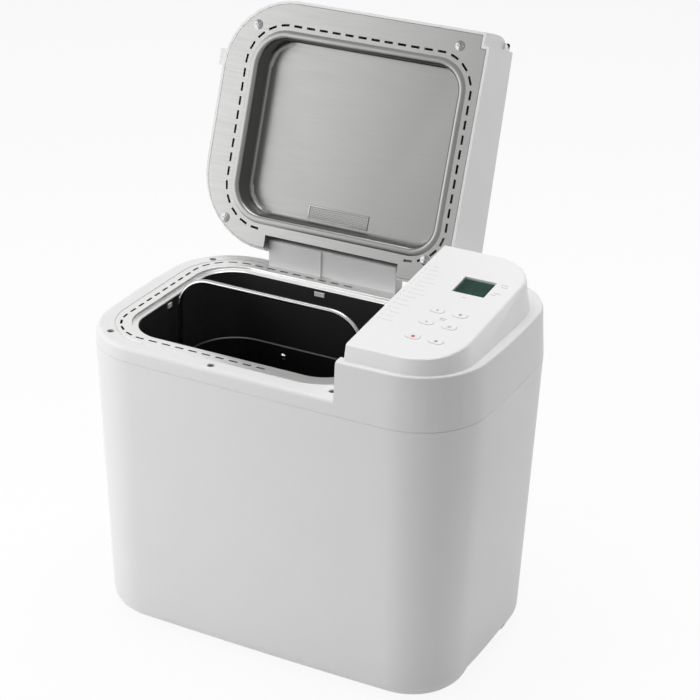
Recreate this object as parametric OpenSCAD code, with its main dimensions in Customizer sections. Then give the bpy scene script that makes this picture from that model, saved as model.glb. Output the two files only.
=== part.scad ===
// Household bread machine: tub housing, raised control block, hinged lid with a pressed inner panel,
// baking chamber, lift-out pan with bail and kneading paddle, and the belt drive beneath.
// Millimetres. Origin: centre of the footprint on the worktop. +X right, +Y back, +Z up.
// The lid is drawn open against its stop.

/* [Housing] */
// Width of the housing at the parting line
body_w = 389; // [340:1:440]
// Depth of the housing at the parting line
body_d = 245; // [235:1:260]
// Width of the housing at its bottom edge
base_w = 369; // [330:1:400]
// Depth of the housing at its bottom edge
base_d = 221; // [210:1:245]
// Height of the parting line between the two housing mouldings
parting_z = 280; // [265:1:295]
// Height of the deck above the parting line
deck_rise = 14; // [12:0.5:20]
// Corner radius in plan at the parting line
body_r = 66; // [50:1:72]
// Corner radius in plan at the bottom edge
base_r = 54; // [40:1:60]
// Height of the rounded bottom edge
base_fillet = 16.5; // [10:0.5:20]
// Crown of the long and short sides in plan
side_crown = 1.5; // [0:0.25:3]
// Wall thickness of the housing mouldings
wall = 3; // [2:0.25:3.5]
// Height of the housing edge above the worktop
ground_gap = 1.5; // [1:0.25:4]
// Height of the cable gland above the worktop
gland_z = 34; // [30:1:60]
// Length of the finger recess under each side
grip_l = 86; // [70:1:100]
// Height of the finger recess above the worktop
grip_h = 16.5; // [12:0.5:22]

/* [Control block] */
// Distance from the centre to the left wall of the control block
block_x = 82; // [80:0.5:90]
// Height of the ledge above the deck
ledge_rise = 36; // [30:0.5:40]
// Slope of the control panel towards the front
panel_tilt = 5.77; // [3:0.1:8]
// Height of the panel's front edge above the ledge
panel_rise = 13.5; // [11:0.5:16]
// Thickness of the panel cap
cap_wall = 2.5; // [2:0.1:3]
// Width of the display opening
lcd_w = 30.6; // [24:0.5:36]
// Length of the display opening
lcd_l = 29; // [22:0.5:34]
// Width of an oval key
key_w = 13; // [10:0.5:15]
// Length of an oval key
key_l = 8; // [6:0.5:10]
// Travel of a key
key_travel = 0.8; // [0.5:0.1:1.2]
// Height of a key above the panel
key_proud = 0.3; // [0.1:0.1:0.6]

/* [Chamber] */
// Width of the chamber mouth
mouth_w = 221; // [215:1:224]
// Depth of the chamber mouth
mouth_d = 170; // [164:1:174]
// Corner radius of the chamber mouth
mouth_r = 34; // [28:1:40]
// Height of the chamber floor
floor_z = 62; // [58:1:70]
// Thickness of pressed sheet
sheet = 1; // [0.8:0.1:1.2]
// Width of the sunken ledge round the mouth
step_w = 6; // [5:0.5:7]
// Depth of the sunken ledge below the deck
step_h = 3; // [2:0.25:4]
// Width of the flange outside the ledge
flange_w = 15; // [13:0.5:16]
// Centre line of the vent slots, outside the ledge
slot_off = 7; // [6:0.5:8]
// Length of a vent slot
slot_len = 8.6; // [6:0.2:9]
// Width of a vent slot
slot_wid = 2.2; // [1.6:0.1:2.6]
// Pitch of the vent slots
slot_pitch = 13.85; // [12:0.05:16]
// Corner radius of the row of vent slots
slot_turn = 40; // [34:1:46]
// Diameter of the tubular heater
heater_d = 6.5; // [5.5:0.1:8]

/* [Lid] */
// Opening angle of the lid at rest
lid_open = 109; // [90:0.5:109]
// Gap between the closed lid and the deck
lid_gap = 1; // [1:0.1:2]
// Height of the lid's lower moulding
lid_skirt = 50; // [42:0.5:54]
// Height of the lid top above its skirt at the front
lid_crown = 14; // [10:0.5:18]
// Slope of the lid top towards the front
lid_slope = 4.4; // [3:0.1:5]
// Wall thickness of the lid moulding
lid_wall = 2.6; // [2:0.1:3]
// Depth of the dish in the inner panel
dish_depth = 23.5; // [23.5:0.5:30]
// Height of the hinge axis above the deck
hinge_h = 18.2; // [17.8:0.1:20]
// Distance of the hinge axis behind the centre
hinge_y = 114.6; // [113:0.1:115]
// Diameter of the hinge pin
hinge_pin_d = 5; // [4:0.1:6]

/* [Pan] */
// Width of the pan at its rim
pan_w = 182; // [170:1:184]
// Depth of the pan at its rim
pan_d = 122; // [112:1:126]
// Corner radius of the pan at its rim
pan_r = 45; // [38:1:50]
// Height of the pan body
pan_h = 150; // [130:1:152]
// Draft of the pan wall on each side
pan_draft = 5; // [3:0.5:8]
// Wall thickness of the pan
pan_wall = 1.5; // [1.2:0.1:2]
// Wire diameter of the bail
bail_d = 4.5; // [3.5:0.1:5]
// Height of the bail above its pivots
bail_h = 93; // [85:0.5:94]
// Corner radius of the bail
bail_r = 32; // [25:1:40]
// Height of the kneading paddle
paddle_h = 46; // [36:1:60]
// Diameter of the pan shaft
pan_shaft_d = 8; // [7:0.1:9]

/* [Drive] */
// Diameter of the drive shaft
drive_d = 10; // [8:0.1:11]
// Diameter of the large pulley
pulley_d = 96; // [80:1:100]
// Diameter of the motor pulley
pinion_d = 18; // [14:1:24]
// Height of the belt
belt_h = 10; // [8:0.5:12]
// Thickness of the belt
belt_t = 2; // [1.5:0.1:2.5]
// Diameter of the motor
motor_d = 74; // [60:1:78]
// Height of the motor
motor_h = 76; // [60:1:90]
// Distance between the two pulley shafts
shaft_gap = 170; // [165:1:174]

/* [Clearances] */
// Gap between faces of fixed mouldings
gap = 0.4; // [0.3:0.1:0.6]
// Gap between a moving piece and its guide
run_gap = 0.35; // [0.3:0.05:0.5]
// Radial play of a pin or shaft in its bore
play = 0.06; // [0.03:0.01:0.1]

/* [Hidden] */
$fn = 64;
white = [0.94, 0.94, 0.94];
steel = [0.72, 0.72, 0.73];
dark = [0.11, 0.11, 0.11];
deck_z = parting_z + deck_rise;
ledge_z = deck_z + ledge_rise;
upper_draft = 0.05;
groove = 0.8;
inset_plate = 24;
flange_z = ground_gap + 2;
flange_t = 3.5;
// chamber mouth
mouth_cx = -45.5;
mouth_cy = 1;
flange_off = step_w + flange_w;
step_z = deck_z - step_h;
can_top = step_z - sheet;
block_gap = 1;
// control panel cap
cap_x0 = block_x + 1;
cap_x1 = body_w / 2 - 11.5;
cap_y0 = 9 - body_d / 2;
cap_y1 = body_d / 2 - 22.5;
top_inset = 5;
cap_back = 12;
panel_y0 = cap_y0 + 2.5;
panel_z0 = ledge_z + panel_rise;
key_x1 = cap_x1 - 54.6;
key_x2 = cap_x1 - 33.1;
key_row1 = 85.4;
key_row2 = 63.4;
key_row3 = 36.6;
lcd_x = cap_x1 - 42.8;
lcd_v = 136.7;
board_drop = 10;
// lid
hinge_z = deck_z + hinge_h;
lid_z = deck_z + lid_gap;
lid_x0 = 4.5 - body_w / 2;
lid_x1 = block_x - block_gap;
lid_y = 120;
lid_r = 72;
ledge_in = 6;
skirt_in = 6;
tower_x0 = -112.3;
tower_x1 = 24.5;
tower_y0 = 106;
tower_r = hinge_y - tower_y0;
tower_y1 = hinge_y + 7;
notch_x0 = tower_x0 - 1.5;
notch_x1 = tower_x1 + 4;
notch_y = tower_y0 - 1.2;
dish_x0 = -154.4;
dish_x1 = 60;
dish_y0 = -85.7;
dish_y1 = 89.6;
dish_r = 32;
dish_q = 25;
lip_w = 5.7;
roll = 2.6;
lid_slot_off = 10.5;
knuckle_w = 8;
knuckle_r = hinge_pin_d / 2 + 4.5;
cheek_x = 78;
cheek_y = -109;
vent_w = 65;
vent_l = 14;
vent_x = -51.6;
vent_y = 76;
screw_xy = [[lid_x0 + 31.9, -lid_y + 27.8], [lid_x1 - 28.6, -lid_y + 15.8], [lid_x0 + 29.9, lid_y - 23.8],
    [lid_x1 - 26, lid_y - 24]];
screw_proud = 0.7;
post_r = 4.2;
// pan
pan_cx = -52.4;
pan_cy = 0;
rim_z = 236;
pan_z = rim_z - pan_h;
rim_wire = 1.6;
pivot_z = rim_z - 14;
bail_half = pan_w / 2 + rim_wire + bail_d / 2 + 1;
boss_x = bail_half - bail_d / 2 - run_gap;
foot_r = 36;
bush_r = 9;
// drive
chassis_z = 44;
chassis_t = 2;
chassis_x0 = -130;
chassis_x1 = 160;
chassis_y = 72;
chassis_lip = 8;
pulley_z = 24;
pulley_h = belt_h + 4;
motor_x = pan_cx + shaft_gap;
bearing_r = 15;
dog_z = floor_z + 3;
dog_h = 9;
coupler_r = 18;
pan_shaft_top = pan_z + 24;
feet_xy = [base_w / 2 - 52.5, base_d / 2 - 44.5];
boss_x1 = base_w / 2 - inset_plate - 20.5;
boss_xy = [[-116, -60], [-116, 60], [44, -60], [44, 60], [boss_x1, -44], [boss_x1, 44]];

function arc(cx, cy, r, a0, n = 8) = [for (i = [0:n]) [cx + r * cos(a0 + 90 * i / n), cy + r * sin(a0 + 90 * i / n)]];

// box in plan with its own radius at each corner: front left, front right, rear right, rear left
function rbox(x0, x1, y0, y1, r, n = 8) = concat(
    arc(x0 + r[0], y0 + r[0], r[0], 180, n), arc(x1 - r[1], y0 + r[1], r[1], 270, n),
    arc(x1 - r[2], y1 - r[2], r[2], 0, n), arc(x0 + r[3], y1 - r[3], r[3], 90, n));

// crowned outline of the housing
function crown(t) = side_crown * (1 - t * t);
function plan(w, d, r) = let (a = w / 2 - side_crown, b = d / 2 - side_crown, u = [-0.6, -0.3, 0, 0.3, 0.6])
    concat(arc(-a + r, -b + r, r, 180, 12), [for (t = u) [t * (a - r), -b - crown(t)]],
    arc(a - r, -b + r, r, 270, 12), [for (t = u) [a + crown(t), t * (b - r)]],
    arc(a - r, b - r, r, 0, 12), [for (t = u) [-t * (a - r), b + crown(t)]],
    arc(-a + r, b - r, r, 90, 12), [for (t = u) [-a - crown(t), -t * (b - r)]]);

function mix(a, b, t) = a + (b - a) * t;
function wide(z) = z <= parting_z ? mix(base_w, body_w, z / parting_z) : body_w - 2 * upper_draft * (z - parting_z);
function deep(z) = z <= parting_z ? mix(base_d, body_d, z / parting_z) : body_d - 2 * upper_draft * (z - parting_z);
function round_at(z) = mix(base_r, body_r, min(z, parting_z) / parting_z);

module slab(points, z, h = 0.01) {
    translate([0, 0, z])
        linear_extrude(h)
            polygon(points);
}

// one level of the housing, set in from its outer face
module level(z, inset = 0) {
    slab(plan(wide(z) - 2 * inset, deep(z) - 2 * inset, max(round_at(z) - inset, 6)), z);
}

// rounded rectangle with true arcs
module rrect(x0, x1, y0, y1, r) {
    translate([x0 + r, y0])
        square([x1 - x0 - 2 * r, y1 - y0]);
    translate([x0, y0 + r])
        square([x1 - x0, y1 - y0 - 2 * r]);
    for (x = [x0 + r, x1 - r], y = [y0 + r, y1 - r])
        translate([x, y])
            circle(r);
}

module mouth(off) {
    rrect(mouth_cx - mouth_w / 2 - off, mouth_cx + mouth_w / 2 + off, mouth_cy - mouth_d / 2 - off,
        mouth_cy + mouth_d / 2 + off, mouth_r + off);
}

// carries a 2D section, x outward and y up, round a box with radius r at its left corners and q at its right
module sweep_rect(x0, x1, y0, y1, r, q) {
    for (c = [[x1 - q, y1 - q, 0, q], [x0 + r, y1 - r, 90, r], [x0 + r, y0 + r, 180, r], [x1 - q, y0 + q, 270, q]])
        translate([c[0], c[1], 0])
            rotate([0, 0, c[2]])
                rotate_extrude(angle = 90)
                    translate([c[3], 0])
                        children();
    for (c = [[x1, y0 + q, 0, y1 - y0 - 2 * q], [x1 - q, y1, 90, x1 - x0 - r - q],
        [x0, y1 - r, 180, y1 - y0 - 2 * r], [x0 + r, y0, 270, x1 - x0 - r - q]])
        translate([c[0], c[1], 0])
            rotate([0, 0, c[2]])
                translate([0, c[3], 0])
                    rotate([90, 0, 0])
                        linear_extrude(c[3])
                            children();
}

// lengths of the legs of the same box: front, corner, right, corner, rear, corner, left, corner
function legs(x0, x1, y0, y1, r, q) = let (a = x1 - x0 - r - q)
    [a, PI * q / 2, y1 - y0 - 2 * q, PI * q / 2, a, PI * r / 2, y1 - y0 - 2 * r, PI * r / 2];
function upto(e, i) = i == 0 ? 0 : e[i - 1] + upto(e, i - 1);

// point and heading at a distance along it
function along(s, x0, x1, y0, y1, r, q) = let (e = legs(x0, x1, y0, y1, r, q),
    leg = len([for (i = [1:7]) if (s >= upto(e, i)) i]), u = s - upto(e, leg), t = u / e[leg] * 90)
    leg == 0 ? [x0 + r + u, y0, 0] : leg == 1 ? [x1 - q + q * sin(t), y0 + q - q * cos(t), t]
    : leg == 2 ? [x1, y0 + q + u, 90] : leg == 3 ? [x1 - q + q * cos(t), y1 - q + q * sin(t), 90 + t]
    : leg == 4 ? [x1 - q - u, y1, 180] : leg == 5 ? [x0 + r - r * sin(t), y1 - r + r * cos(t), 180 + t]
    : leg == 6 ? [x0, y1 - r - u, 270] : [x0 + r - r * cos(t), y0 + r - r * sin(t), 270 + t];

module slot_ring(x0, x1, y0, y1, r, q, start, xmax, notch = [0, 0]) {
    girth = upto(legs(x0, x1, y0, y1, r, q), 8);
    n = round(girth / slot_pitch);
    for (i = [0:n - 1]) {
        p = along((i + start) * girth / n, x0, x1, y0, y1, r, q);
        if (p[0] < xmax && !(p[1] > 0 && p[0] > notch[0] - slot_len && p[0] < notch[1] + slot_len))
            translate([p[0], p[1]])
                rotate(p[2])
                    square([slot_len, slot_wid], center = true);
    }
}

module stadium(w, l) {
    square([w - l, l], center = true);
    for (s = [-1, 1])
        translate([s * (w - l) / 2, 0])
            circle(d = l, $fn = 32);
}

module on_panel() {
    translate([0, panel_y0, panel_z0])
        rotate([panel_tilt, 0, 0])
            children();
}

module lid_pose() {
    translate([0, hinge_y, hinge_z])
        rotate([-lid_open, 0, 0])
            translate([0, -hinge_y, -hinge_z])
                children();
}

module at_pan() {
    translate([pan_cx, pan_cy, 0])
        children();
}

// finger recess under one side, or the pocket of the moulding round it
module grip(s, grow = 0) {
    x0 = base_w / 2 - inset_plate + wall - grow;
    translate([s * (x0 + 20), 0, 0])
        rotate([90, 0, 90])
            linear_extrude(40, center = true)
                polygon([[grip_y - grip_l - 12 - grow, -1], [grip_y - grip_l - 3 - grow, 0.7 * grip_h + grow],
                    [grip_y - grip_l + 4 - grow, grip_h + grow], [grip_y + grow, grip_h + grow],
                    [grip_y + 3 + grow, grip_h - 1 + grow], [grip_y + 5 + grow, -1]]);
}
grip_y = 33;

module lower_housing() {
    color(white)
        difference() {
            hull() {
                for (k = [0:5])
                    level(ground_gap + base_fillet * (1 - cos(18 * k)), base_fillet * (1 - sin(18 * k)));
                level(parting_z - groove);
                level(parting_z - 0.01, groove);
            }
            difference() {
                hull() {
                    for (k = [0:4])
                        level(flange_z + flange_t + (base_fillet - wall) * (1 - cos(22.5 * k)),
                            wall + (base_fillet - wall) * (1 - sin(22.5 * k)));
                    level(parting_z + 0.1, wall);
                }
                for (s = [-1, 1])
                    grip(s, wall);
            }
            // opening in the floor, and the recess that the base plate fits
            slab(plan(base_w - 2 * inset_plate - 16, base_d - 2 * inset_plate - 16, base_r - inset_plate - 8),
                0, flange_z + flange_t + 1);
            slab(plan(base_w - 2 * inset_plate, base_d - 2 * inset_plate, base_r - inset_plate), 0, flange_z);
            for (s = [-1, 1])
                grip(s);
            // cord entry at the rear
            translate([gland_x, body_d / 2, gland_z])
                rotate([90, 0, 0])
                    cylinder(h = 60, r = 7, center = true);
            // louvres behind the electronics
            for (k = [0:7])
                translate([96 + 9 * k, deep(213) / 2 - 8, 196])
                    cube([3.2, 20, 34]);
        }
}
gland_x = 104;

module upper_housing() {
    color(white)
        difference() {
            union() {
                hull() {
                    level(parting_z, groove);
                    level(parting_z + groove);
                    level(deck_z - 4);
                    level(deck_z - 2, 0.55);
                    level(deck_z - 0.6, 2);
                    level(deck_z - 0.01, 4);
                }
                intersection() {
                    hull() {
                        level(deck_z - 8);
                        level(ledge_z - 3);
                        level(ledge_z - 0.9, 0.9);
                        level(ledge_z - 0.01, 3);
                    }
                    union() {
                        translate([block_x, -body_d, deck_z - 8])
                            cube([body_w, 2 * body_d, ledge_rise + 9]);
                        translate([cheek_x, -body_d, deck_z - 8])
                            cube([body_w, body_d + cheek_y, ledge_rise + 9]);
                    }
                }
            }
            hull() {
                level(parting_z - 0.1, wall);
                level(deck_z - wall - 2, wall);
                level(deck_z - wall, wall + 3);
            }
            intersection() {
                hull() {
                    level(deck_z - 9, wall);
                    level(ledge_z - wall, wall + 1);
                }
                translate([block_x + wall, -body_d, deck_z - 9])
                    cube([body_w, 2 * body_d, ledge_rise + 12]);
            }
            // opening under the panel cap
            slab(rbox(cap_x0 + 5, cap_x1 - 5, cap_y0 + 5, cap_y1 - 5, [4, 47, 55, 4]), ledge_z - wall - 1, wall + 2);
            // recess for the chamber flange, and the opening inside it
            translate([0, 0, deck_z - sheet])
                linear_extrude(sheet + 0.1)
                    intersection() {
                        mouth(flange_off + groove);
                        translate([-body_w, -body_d])
                            square([body_w + block_x, 2 * body_d]);
                    }
            translate([0, 0, deck_z - 12])
                linear_extrude(12)
                    intersection() {
                        mouth(flange_off - 3);
                        translate([-body_w, -body_d])
                            square([body_w + block_x - 3, 2 * body_d]);
                    }
            for (p = deck_screw_xy)
                translate([p[0], p[1], deck_z - wall - 1])
                    union() {
                        translate([0, 0, -8])
                            cylinder(h = wall + 10, r = 1.6, $fn = 24);
                        translate([0, 0, wall - 0.6])
                            cylinder(h = 3, r = 3.4, $fn = 32);
                    }
        }
}
// midway between the chamber flange and the housing's edge
edge_y0 = (mouth_cy - mouth_d / 2 - flange_off - body_d / 2) / 2;
edge_y1 = (mouth_cy + mouth_d / 2 + flange_off + body_d / 2) / 2;
deck_screw_xy = [[32.5 - body_w / 2, edge_y0 + 16.75], [-47, edge_y0 + 0.15], [block_x - 13, edge_y0 + 8.25],
    [27.5 - body_w / 2, edge_y1 - 22.75]];

module base_plate() {
    color([0.35, 0.35, 0.36])
        difference() {
            union() {
                slab(plan(base_w - 2 * inset_plate - 2 * gap, base_d - 2 * inset_plate - 2 * gap,
                    base_r - inset_plate - gap), ground_gap, flange_z - ground_gap);
                for (p = boss_xy)
                    translate([p[0], p[1], flange_z - 0.5])
                        cylinder(h = chassis_z - flange_z + 0.5, r = 6, $fn = 32);
            }
            for (p = boss_xy)
                translate([p[0], p[1], chassis_z - 15])
                    cylinder(h = 16, r = 1.8, $fn = 24);
            for (i = [-4:4], s = [-1, 1])
                translate([i * 12 + s * 78, 0, 0])
                    cube([4, 70, 20], center = true);
            for (sx = [-1, 1], sy = [-1, 1])
                translate([sx * feet_xy[0], sy * feet_xy[1], 0])
                    cylinder(h = 10, r = 3, $fn = 32);
        }
}

module foot(sx, sy) {
    color([0.2, 0.2, 0.2])
        translate([sx * feet_xy[0], sy * feet_xy[1], 0])
            union() {
                cylinder(h = ground_gap, r1 = 10, r2 = 11, $fn = 48);
                cylinder(h = flange_z + 1, r = 3 - play, $fn = 32);
                translate([0, 0, flange_z])
                    cylinder(h = 1.5, r1 = 4, r2 = 3, $fn = 32);
            }
}

module cord_gland() {
    y1 = deep(gland_z) / 2 - side_crown * pow(gland_x / (wide(gland_z) / 2 - side_crown - round_at(gland_z)), 2);
    color([0.25, 0.25, 0.25])
        translate([gland_x, 0, gland_z])
            rotate([-90, 0, 0])
                difference() {
                    union() {
                        translate([0, 0, y1 - wall - 3])
                            cylinder(h = wall + 8, r = 7 - gap / 2, $fn = 48);
                        translate([0, 0, y1 + 0.6])
                            cylinder(h = 3, r = 9.5, $fn = 48);
                        translate([0, 0, y1 - wall - 3.6])
                            cylinder(h = 3, r = 9, $fn = 48);
                        translate([0, 0, y1 + 3])
                            cylinder(h = 9, r1 = 6.5, r2 = 5, $fn = 48);
                    }
                    translate([0, 0, y1 - 20])
                        cylinder(h = 60, r = 3.6, $fn = 48);
                }
}

module cap_solid(off) {
    hull() {
        slab(rbox(cap_x0 + off, cap_x1 - off, cap_y0 + off, cap_y1 - off,
            [1, 52 - off, 60 - off, 1]), ledge_z - (off > 0 ? 1 : 0));
        on_panel()
            for (k = [0:3])
                translate([0, 0, -off - 2.5 * (1 - sin(30 * k))])
                    slab(rbox(cap_x0 + off, cap_x1 - top_inset - off - 2.5 * (1 - cos(30 * k)),
                        off + 2.5 * (1 - cos(30 * k)), cap_y1 - cap_back - panel_y0 - off - 2.5 * (1 - cos(30 * k)),
                        [1, 48 - off, 43 - off, 1]), -0.01);
    }
}

module control_panel() {
    color(white)
        difference() {
            union() {
                difference() {
                    cap_solid(0);
                    cap_solid(cap_wall);
                }
                // posts that carry the control board
                for (p = board_posts)
                    on_panel()
                        translate([p[0], p[1], -board_drop])
                            cylinder(h = board_drop - 0.5, r = 3, $fn = 32);
            }
            on_panel() {
                translate([lcd_x - lcd_w / 2, lcd_v - lcd_l / 2, -cap_wall - 1])
                    cube([lcd_w, lcd_l, cap_wall + 2]);
                for (p = key_xy)
                    translate([p[0], p[1], -cap_wall - 1])
                        linear_extrude(cap_wall + 2)
                            stadium(key_w + 2 * run_gap, key_l + 2 * run_gap);
                for (p = board_posts)
                    translate([p[0], p[1], -board_drop - 1])
                        cylinder(h = 7, r = 1.2, $fn = 24);
            }
        }
}
key_xy = [[key_x1, key_row1], [key_x2, key_row1], [key_x1, key_row2], [key_x2, key_row2],
    [key_x1, key_row3], [key_x2, key_row3]];
board_posts = [[cap_x0 + 14, 36], [cap_x0 + 14, 158], [cap_x1 - 21, 100], [cap_x1 - 21, 158]];

module lcd_window() {
    color([0.6, 0.75, 0.7, 0.5])
        on_panel()
            union() {
                translate([lcd_x - lcd_w / 2 + gap / 2, lcd_v - lcd_l / 2 + gap / 2, -cap_wall])
                    cube([lcd_w - gap, lcd_l - gap, 1]);
                translate([lcd_x - lcd_w / 2 - 3, lcd_v - lcd_l / 2 - 3, -cap_wall - 1])
                    cube([lcd_w + 6, lcd_l + 6, 1]);
            }
}

module lcd_module() {
    color([0.21, 0.37, 0.33])
        on_panel()
            translate([lcd_x - lcd_w / 2 - 3, lcd_v - lcd_l / 2 - 3, -board_drop])
                cube([lcd_w + 6, lcd_l + 6, board_drop - cap_wall - 1]);
}

module control_board() {
    color([0.15, 0.4, 0.2])
        on_panel()
            difference() {
                union() {
                    translate([cap_x0 + 10, 30, -board_drop - 1.6])
                        cube([cap_x1 - cap_x0 - 25, 134, 1.6]);
                    for (p = key_xy)
                        translate([p[0], p[1], -board_drop])
                            cylinder(h = switch_h, r = 3, $fn = 32);
                }
                for (p = board_posts)
                    translate([p[0], p[1], -board_drop - 2])
                        cylinder(h = 3, r = 1.2, $fn = 24);
            }
}
switch_h = 2;

module key(i, tint) {
    color(tint)
        on_panel()
            translate([key_xy[i][0], key_xy[i][1], 0])
                union() {
                    translate([0, 0, -cap_wall - 1])
                        linear_extrude(cap_wall + 1 + key_proud)
                            stadium(key_w, key_l);
                    translate([0, 0, -cap_wall - run_gap - 1])
                        linear_extrude(1)
                            stadium(key_w + 2, key_l + 2);
                    translate([0, 0, -board_drop + switch_h + key_travel + 0.3])
                        cylinder(h = board_drop - switch_h - key_travel - 0.3 - cap_wall - 1, r = 2, $fn = 24);
                }
}

// one sheet: outer flange, step down, ledge with a turned edge
module deck_flange() {
    h = step_h;
    s = sheet;
    color(steel)
        difference() {
            union() {
                translate([0, 0, deck_z])
                    intersection() {
                        sweep_rect(mouth_cx - mouth_w / 2, mouth_cx + mouth_w / 2, mouth_cy - mouth_d / 2,
                            mouth_cy + mouth_d / 2, mouth_r, mouth_r)
                            polygon([[0, -h - s], [step_w, -h - s], [step_w + 0.8, -h - 0.4],
                                [step_w + 1, -s - 0.6], [step_w + 1.6, -s], [flange_off, -s], [flange_off, -0.3],
                                [flange_off - 0.3, 0], [step_w + 1, 0], [step_w + 0.3, -0.3], [step_w, -1],
                                [step_w - 0.2, -h + 0.3], [step_w - 0.7, -h], [0.6, -h], [0, -h - 0.5]]);
                        translate([-body_w, -body_d, -20])
                            cube([body_w + block_x - gap, 2 * body_d, 40]);
                    }
            }
            translate([0, 0, deck_z - sheet - 1])
                linear_extrude(sheet + 2)
                    slot_ring(mouth_cx - mouth_w / 2 - step_w - slot_off, mouth_cx + mouth_w / 2 + step_w + slot_off,
                        mouth_cy - mouth_d / 2 - step_w - slot_off, mouth_cy + mouth_d / 2 + step_w + slot_off,
                        slot_turn, slot_turn, 0.85, 4);
        }
}

module screw(head_r, head_h, shank_r, shank_l) {
    difference() {
        union() {
            cylinder(h = head_h, r1 = head_r, r2 = head_r * 0.8, $fn = 32);
            translate([0, 0, -shank_l])
                cylinder(h = shank_l + head_h / 4, r = shank_r, $fn = 24);
        }
        for (a = [0, 90])
            rotate([0, 0, a])
                translate([0, 0, head_h])
                    cube([head_r * 1.1, head_r * 0.25, head_h * 1.2], center = true);
    }
}

module deck_screws() {
    color([0.3, 0.3, 0.3])
        for (p = deck_screw_xy)
            translate([p[0], p[1], deck_z - 1.6])
                screw(3, 1, 1.5, 8);
}

module chamber_can() {
    color(dark)
        difference() {
            union() {
                difference() {
                    translate([0, 0, floor_z - sheet])
                        linear_extrude(can_top - floor_z + sheet)
                            mouth(sheet);
                    translate([0, 0, floor_z])
                        linear_extrude(can_top)
                            mouth(0);
                }
                translate([0, 0, can_top - sheet])
                    linear_extrude(sheet)
                        difference() {
                            mouth(step_w - 1);
                            mouth(0);
                        }
            }
            at_pan()
                cylinder(h = floor_z + 1, r = drive_d / 2 + 2);
            // heater ends and sensor pass through the right wall
            for (s = [-1, 1])
                translate([mouth_cx + mouth_w / 2 - 5, mouth_cy + s * heater_gap, heater_z])
                    rotate([0, 90, 0])
                        cylinder(h = 12, r = heater_d / 2 + gap, $fn = 32);
            translate([mouth_cx + mouth_w / 2 - 5, sensor_y, sensor_z])
                rotate([0, 90, 0])
                    cylinder(h = 12, r = 2.5 + gap, $fn = 32);
        }
}
heater_gap = 14;
heater_z = floor_z + 26;
heater_in = 8;
sensor_y = 46;
sensor_z = floor_z + 60;

module chamber_tabs() {
    color([0.85, 0.85, 0.85]) {
        for (s = [-1, 1]) {
            translate([mouth_cx, mouth_cy + s * (mouth_d / 2 - 0.6), can_top - 4.5])
                cube([10.5, 1.2, 4.2], center = true);
            translate([mouth_cx + s * (mouth_w / 2 - 0.6), mouth_cy - 8, can_top - 4.5])
                cube([1.2, 6, 4.2], center = true);
        }
    }
}

module heater_element() {
    x0 = mouth_cx - mouth_w / 2 + heater_in;
    x1 = mouth_cx + mouth_w / 2 - heater_in;
    y0 = mouth_cy - mouth_d / 2 + heater_in;
    y1 = mouth_cy + mouth_d / 2 - heater_in;
    color([0.3, 0.28, 0.27])
        translate([0, 0, heater_z])
            union() {
                difference() {
                    sweep_rect(x0, x1, y0, y1, mouth_r - heater_in, mouth_r - heater_in)
                        circle(d = heater_d, $fn = 32);
                    translate([x1 - 10, mouth_cy - heater_gap, -10])
                        cube([20, 2 * heater_gap, 20]);
                }
                for (s = [-1, 1])
                    translate([x1, mouth_cy + s * heater_gap, 0])
                        union() {
                            sphere(d = heater_d, $fn = 32);
                            rotate([0, 90, 0])
                                cylinder(h = heater_in + 5, d = heater_d, $fn = 32);
                        }
            }
}

module heater_brackets() {
    y1 = mouth_d / 2;
    color(steel)
        for (s = [-1, 1])
            translate([mouth_cx, mouth_cy + s * (y1 - heater_in), heater_z])
                difference() {
                    translate([-5, s > 0 ? -heater_d : -heater_in, -6])
                        cube([10, heater_d + heater_in, 12]);
                    rotate([0, 90, 0])
                        cylinder(h = 12, r = heater_d / 2 + play, center = true, $fn = 32);
                }
}

module temperature_sensor() {
    color(steel)
        translate([mouth_cx + mouth_w / 2, sensor_y, sensor_z])
            rotate([0, 90, 0])
                union() {
                    translate([0, 0, -9])
                        cylinder(h = 9 + sheet + 4, r = 2.5, $fn = 32);
                    translate([0, 0, sheet])
                        cylinder(h = 2, r = 6, $fn = 32);
                    translate([0, 0, -9])
                        sphere(r = 2.5, $fn = 32);
                }
}

module pan_socket() {
    color(steel)
        at_pan()
            translate([0, 0, floor_z])
                difference() {
                    union() {
                        cylinder(h = 9, r = foot_r + 5, $fn = 96);
                        cylinder(h = 1.5, r = foot_r + 12, $fn = 96);
                    }
                    translate([0, 0, 1.5])
                        cylinder(h = 20, r = foot_r + 1, $fn = 96);
                    translate([0, 0, -1])
                        cylinder(h = 20, r = coupler_r + 2, $fn = 64);
                    for (a = [0, 180])
                        rotate([0, 0, a])
                            translate([foot_r - 2, -7, 1.5])
                                cube([12, 14, 20]);
                }
}

module heat_shield() {
    color(steel)
        difference() {
            translate([shield_x, -shield_y, chassis_z + chassis_t])
                cube([sheet, 2 * shield_y, 200]);
            for (s = [-1, 1])
                translate([shield_x - 1, mouth_cy + s * heater_gap, heater_z])
                    rotate([0, 90, 0])
                        cylinder(h = 4, r = heater_d / 2 + 2, $fn = 32);
            translate([shield_x - 1, sensor_y, sensor_z])
                rotate([0, 90, 0])
                    cylinder(h = 4, r = 5, $fn = 32);
        }
}
shield_x = mouth_cx + mouth_w / 2 + 9;
shield_y = chassis_y - chassis_t - gap;

module power_board() {
    color([0.3, 0.35, 0.2])
        translate([shield_x + sheet, -56, 150])
            union() {
                for (y = [6, 98], z = [6, 74])
                    translate([0, y, z])
                        rotate([0, 90, 0])
                            cylinder(h = 6.5, r = 3, $fn = 24);
                translate([6, 0, 0])
                    cube([1.6, 104, 80]);
                translate([7, 12, 10])
                    cube([26, 34, 32]);
                for (k = [0:2])
                    translate([7, 64 + 14 * k, 24])
                        rotate([0, 90, 0])
                            cylinder(h = 20, r = 5.5, $fn = 32);
                translate([7, 14, 54])
                    cube([16, 70, 14]);
            }
}

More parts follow.
